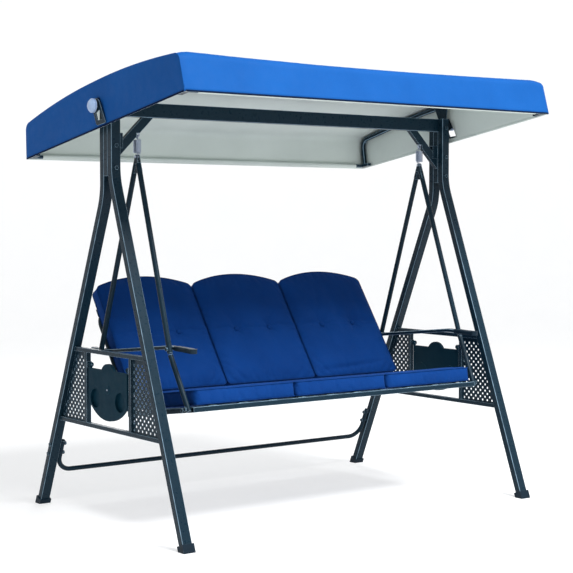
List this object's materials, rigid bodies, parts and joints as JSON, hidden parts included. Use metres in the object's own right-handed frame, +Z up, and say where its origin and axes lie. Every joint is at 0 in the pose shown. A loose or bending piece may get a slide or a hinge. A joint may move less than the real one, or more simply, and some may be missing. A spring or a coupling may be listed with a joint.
{
  "type": "glider swing",
  "caption": "Free-standing garden swing seat on springs, with an A-frame stand, a tilting canopy, padded seats with arched backs, and fold-down side trays with cup wells.",
  "frame": {"origin": "on the floor, under the middle of the swing's pivot line and the centre of the bounding box", "axes": "+X to the right seen from the front, -Y to the front, +Z up"},
  "size_m": [1.888, 1.227, 1.7774],
  "materials": {
    "dark_paint": "satin hammered powder coat",
    "black_plastic": "matte",
    "tray_plastic": "fine grain",
    "grey_plastic": "silver grey",
    "zinc_steel": "zinc plated",
    "cushion_fabric": "woven polyester",
    "canopy_fabric": "coated polyester, grey inside"
  },
  "bodies": {
    "stand": {"front_left_leg": "dark_paint", "front_right_leg": "dark_paint", "rear_left_leg": "dark_paint", "rear_right_leg": "dark_paint", "top_beam": "dark_paint", "head_posts": "dark_paint", "left_knee_brace": "dark_paint", "right_knee_brace": "dark_paint", "brace_brackets": "dark_paint", "left_tray_frame": "dark_paint", "right_tray_frame": "dark_paint", "front_left_panel": "dark_paint", "front_right_panel": "dark_paint", "rear_left_panel": "dark_paint", "rear_right_panel": "dark_paint", "tray_hinge_brackets": "dark_paint", "stabiliser_bar": "dark_paint", "foot_caps": "black_plastic", "beam_end_plugs": "black_plastic", "head_bolts": "dark_paint", "spring_eyes": "zinc_steel", "canopy_studs": "zinc_steel", "stabiliser_bolts": "dark_paint"},
    "canopy": {"left_canopy_arm": "dark_paint", "right_canopy_arm": "dark_paint", "canopy_front_bar": "dark_paint", "canopy_rear_bar": "dark_paint", "canopy_corner_brackets": "dark_paint", "canopy_pivot_plates": "dark_paint", "canopy_yokes": "dark_paint", "pivot_sleeves": "zinc_steel", "canopy_cover": "canopy_fabric"},
    "left_knob": {"left_knob": "grey_plastic"},
    "right_knob": {"right_knob": "grey_plastic"},
    "left_tray": {"left_tray": "tray_plastic"},
    "right_tray": {"right_tray": "tray_plastic"},
    "springs": {"spring_upper_hooks": "zinc_steel", "spring_coils": "zinc_steel"},
    "spring_ends": {"spring_lower_hooks": "zinc_steel"},
    "swing_seat": {"left_hanger": "dark_paint", "right_hanger": "dark_paint", "hanger_pins": "zinc_steel", "left_armrest": "dark_paint", "right_armrest": "dark_paint", "armrest_end_caps": "black_plastic", "arm_posts": "dark_paint", "seat_front_rail": "dark_paint", "seat_rear_rail": "dark_paint", "seat_side_rails": "dark_paint", "seat_slats": "dark_paint", "back_frame": "dark_paint", "back_slats": "dark_paint", "left_seat_cushion": "cushion_fabric", "middle_seat_cushion": "cushion_fabric", "right_seat_cushion": "cushion_fabric", "left_back_cushion": "cushion_fabric", "middle_back_cushion": "cushion_fabric", "right_back_cushion": "cushion_fabric", "back_buttons": "cushion_fabric", "seat_bolts": "dark_paint"}
  },
  "joints": [
    {"name": "swing", "type": "hinge", "parent": "stand", "child": "springs", "pos_m": [0, 0, 1.509], "axis": [1, 0, 0], "range_deg": [-20, 20]},
    {"name": "spring_stretch", "type": "slide", "parent": "springs", "child": "spring_ends", "axis": [0, 0, -1], "range_m": [0, 0.035], "stiffness_N_per_m": 61000, "springref_m": -0.006, "deforming": ["spring_coils"]},
    {"name": "seat_rock", "type": "hinge", "parent": "spring_ends", "child": "swing_seat", "pos_m": [0, 0, 1.432], "axis": [1, 0, 0], "range_deg": [-8, 8]},
    {"name": "canopy_tilt", "type": "hinge", "parent": "stand", "child": "canopy", "pos_m": [0, 0, 1.62], "axis": [1, 0, 0], "range_deg": [-20, 20]},
    {"name": "left_tray_fold", "type": "hinge", "parent": "stand", "child": "left_tray", "pos_m": [-0.85, 0.016, 0.617], "axis": [0, 1, 0], "range_deg": [0, 90]},
    {"name": "right_tray_fold", "type": "hinge", "parent": "stand", "child": "right_tray", "pos_m": [0.85, 0.016, 0.617], "axis": [0, -1, 0], "range_deg": [0, 90]},
    {"name": "left_knob_turn", "type": "hinge", "parent": "stand", "child": "left_knob", "pos_m": [-0.925, 0, 1.62], "axis": [1, 0, 0], "continuous": true},
    {"name": "right_knob_turn", "type": "hinge", "parent": "stand", "child": "right_knob", "pos_m": [0.925, 0, 1.62], "axis": [1, 0, 0], "continuous": true}
  ]
}
